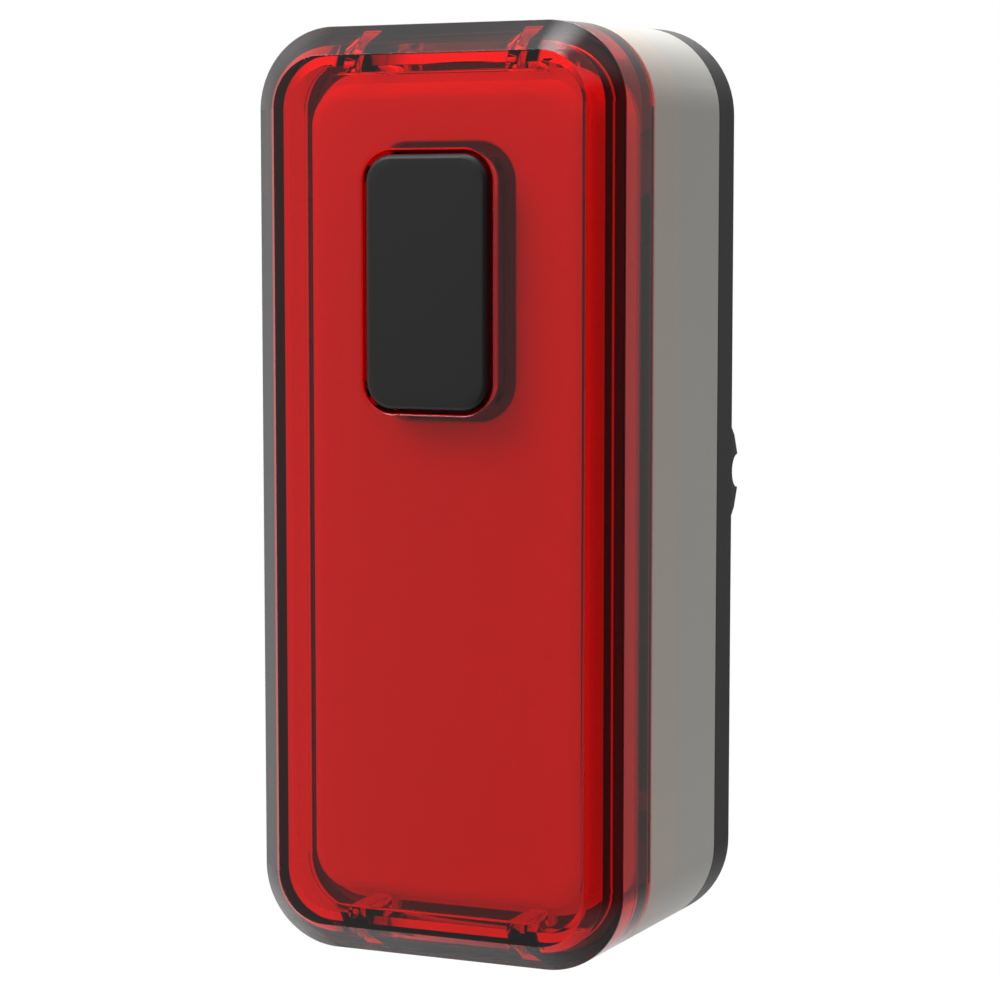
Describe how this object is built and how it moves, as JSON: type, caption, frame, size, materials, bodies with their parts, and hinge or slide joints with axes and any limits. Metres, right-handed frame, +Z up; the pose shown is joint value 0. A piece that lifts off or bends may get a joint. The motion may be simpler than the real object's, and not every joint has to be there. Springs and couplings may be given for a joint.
{
  "type": "bike rear light",
  "caption": "Upright bike rear light with a clear red lens cover, a white battery housing, a dark push button and a dark rear plate with a slide channel for its bracket.",
  "frame": {"origin": "centre of the flat rear face, where the light sits against its bracket", "axes": "+Z up along the height of the light, +Y out of the rear face towards the bike, lens looks along -Y"},
  "size_m": [0.0334, 0.0281, 0.0768],
  "materials": {
    "red_clear_lens": "clear red moulded polycarbonate, polished",
    "white_housing": "white moulded ABS, fine satin",
    "dark_plate": "dark grey moulded ABS, fine texture",
    "dark_button": "dark grey moulded ABS, satin",
    "white_diffuser": "opal white polycarbonate, satin",
    "dark_silicone": "silicone rubber",
    "board_laminate": "glass-fibre laminate with green solder mask",
    "black_package": "moulded epoxy, matte",
    "led_package": "white moulded package with a clear dome",
    "zinc_screw": "zinc plated steel",
    "nickel_contact": "nickel plated spring steel",
    "cell_sleeve": "printed sleeve over a nickel plated can"
  },
  "bodies": {
    "housing": {"rear_plate": "dark_plate", "plate_screws": "zinc_screw", "housing_body": "white_housing", "housing_gasket": "dark_silicone", "cell_left": "cell_sleeve", "cell_right": "cell_sleeve", "positive_contact": "nickel_contact", "negative_contact": "nickel_contact", "bridge_contact": "nickel_contact", "cell_springs": "nickel_contact"},
    "front_cover": {"lens_cover": "red_clear_lens", "snap_hooks": "red_clear_lens", "light_diffuser": "white_diffuser", "circuit_board": "board_laminate", "board_screws": "zinc_screw", "light_leds": "led_package", "led_resistors": "black_package", "control_chip": "black_package", "switch_body": "black_package", "switch_cover": "nickel_contact"},
    "button": {"power_button": "dark_button", "switch_plunger": "black_package"}
  },
  "joints": [
    {"name": "cover_pull", "type": "slide", "parent": "housing", "child": "front_cover", "axis": [0, -1, 0], "range_m": [0, 0.03], "deforming": ["snap_hooks"]},
    {"name": "button_press", "type": "slide", "parent": "front_cover", "child": "button", "axis": [0, 1, 0], "range_m": [0, 0.0004], "stiffness_N_per_m": 2500, "springref_m": -0.0002}
  ]
}
